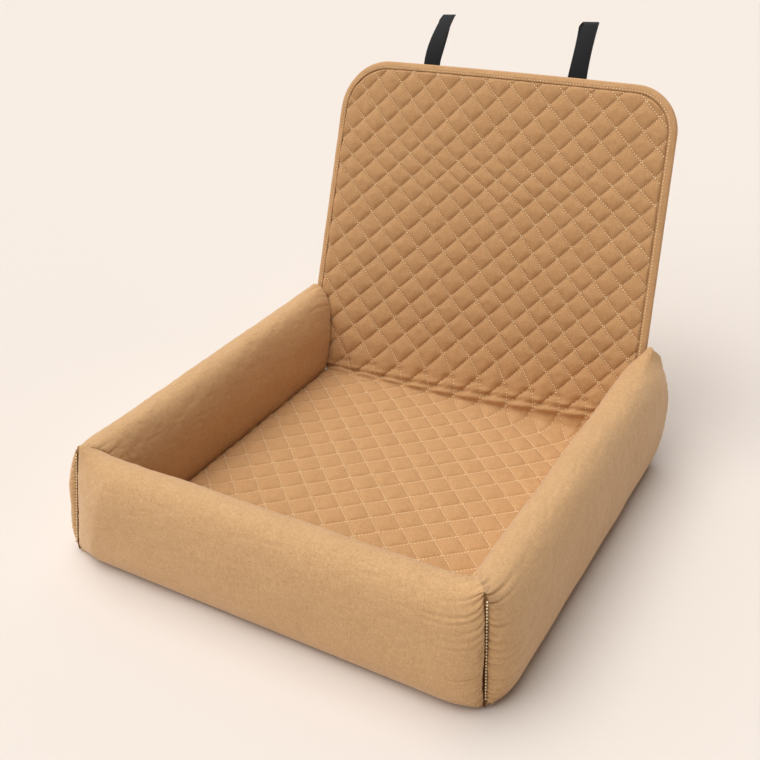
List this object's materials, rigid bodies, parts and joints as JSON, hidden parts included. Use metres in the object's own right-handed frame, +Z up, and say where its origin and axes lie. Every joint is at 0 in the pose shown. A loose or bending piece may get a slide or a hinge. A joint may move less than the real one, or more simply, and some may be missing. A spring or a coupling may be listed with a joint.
{
  "type": "pet car seat bed",
  "caption": "Quilted seat pad inside three stuffed bolsters, with a quilted fold-down back panel and strap loops for a vehicle headrest.",
  "frame": {"origin": "centre of the base's underside, at the crossing of the bed's middle line and the middle of its 500 mm depth", "axes": "+X to the right of someone looking at the front bolster, +Y to the back panel, +Z up"},
  "size_m": [0.58, 0.7009, 0.5171],
  "materials": {
    "cover_fabric": "matte woven",
    "quilted_fabric": "matte quilted",
    "binding_tape": "matte woven",
    "lining_fabric": "matte woven",
    "polyester_fill": "loose fibre",
    "foam": "matte open cell",
    "base_sheet": "matte with rubber dots",
    "stiffener_board": "matte",
    "zip_tape": "matte woven",
    "zip_slider": "satin nickel",
    "webbing": "matte ribbed",
    "hook_and_loop": "matte pile"
  },
  "bodies": {
    "base": {"front_bolster_cover": "cover_fabric", "left_bolster_cover": "cover_fabric", "right_bolster_cover": "cover_fabric", "front_bolster_fill": "polyester_fill", "left_bolster_fill": "polyester_fill", "right_bolster_fill": "polyester_fill", "front_zip_chain": "zip_tape", "left_zip_chain": "zip_tape", "right_zip_chain": "zip_tape", "seat_base_sheet": "base_sheet", "seat_foam": "foam", "seat_quilt": "quilted_fabric"},
    "front_zip_slider": {"front_zip_slider": "zip_slider"},
    "left_zip_slider": {"left_zip_slider": "zip_slider"},
    "right_zip_slider": {"right_zip_slider": "zip_slider"},
    "back_lower": {"back_quilt_lower": "quilted_fabric", "back_board_lower": "stiffener_board", "back_lining_lower": "lining_fabric", "back_binding_left": "binding_tape", "back_binding_right": "binding_tape"},
    "back_upper": {"back_quilt_upper": "quilted_fabric", "back_board_upper": "stiffener_board", "back_lining_upper": "lining_fabric", "back_binding_upper": "binding_tape", "left_strap": "webbing", "right_strap": "webbing", "left_loop_patch": "hook_and_loop", "right_loop_patch": "hook_and_loop"},
    "left_strap_tail": {"left_strap_tail": "webbing", "left_hook_patch": "hook_and_loop"},
    "right_strap_tail": {"right_strap_tail": "webbing", "right_hook_patch": "hook_and_loop"}
  },
  "joints": [
    {"name": "back_recline", "type": "hinge", "parent": "base", "child": "back_lower", "pos_m": [0, 0.25, 0.028], "axis": [-1, 0, 0], "range_deg": [0, 69]},
    {"name": "back_fold", "type": "hinge", "parent": "back_lower", "child": "back_upper", "pos_m": [0, 0.28521, 0.15238], "axis": [1, 0, 0], "range_deg": [0, 107]},
    {"name": "left_strap_open", "type": "hinge", "parent": "back_upper", "child": "left_strap_tail", "pos_m": [-0.103, 0.44981, 0.50975], "axis": [1, 0, 0], "range_deg": [0, 150]},
    {"name": "right_strap_open", "type": "hinge", "parent": "back_upper", "child": "right_strap_tail", "pos_m": [0.103, 0.43828, 0.51578], "axis": [1, 0, 0], "range_deg": [0, 150]},
    {"name": "front_zip", "type": "slide", "parent": "base", "child": "front_zip_slider", "axis": [-1, 0, 0], "range_m": [0, 0.339]},
    {"name": "left_zip", "type": "slide", "parent": "base", "child": "left_zip_slider", "axis": [0, -1, 0], "range_m": [0, 0.279]},
    {"name": "right_zip", "type": "slide", "parent": "base", "child": "right_zip_slider", "axis": [0, -1, 0], "range_m": [0, 0.279]}
  ]
}
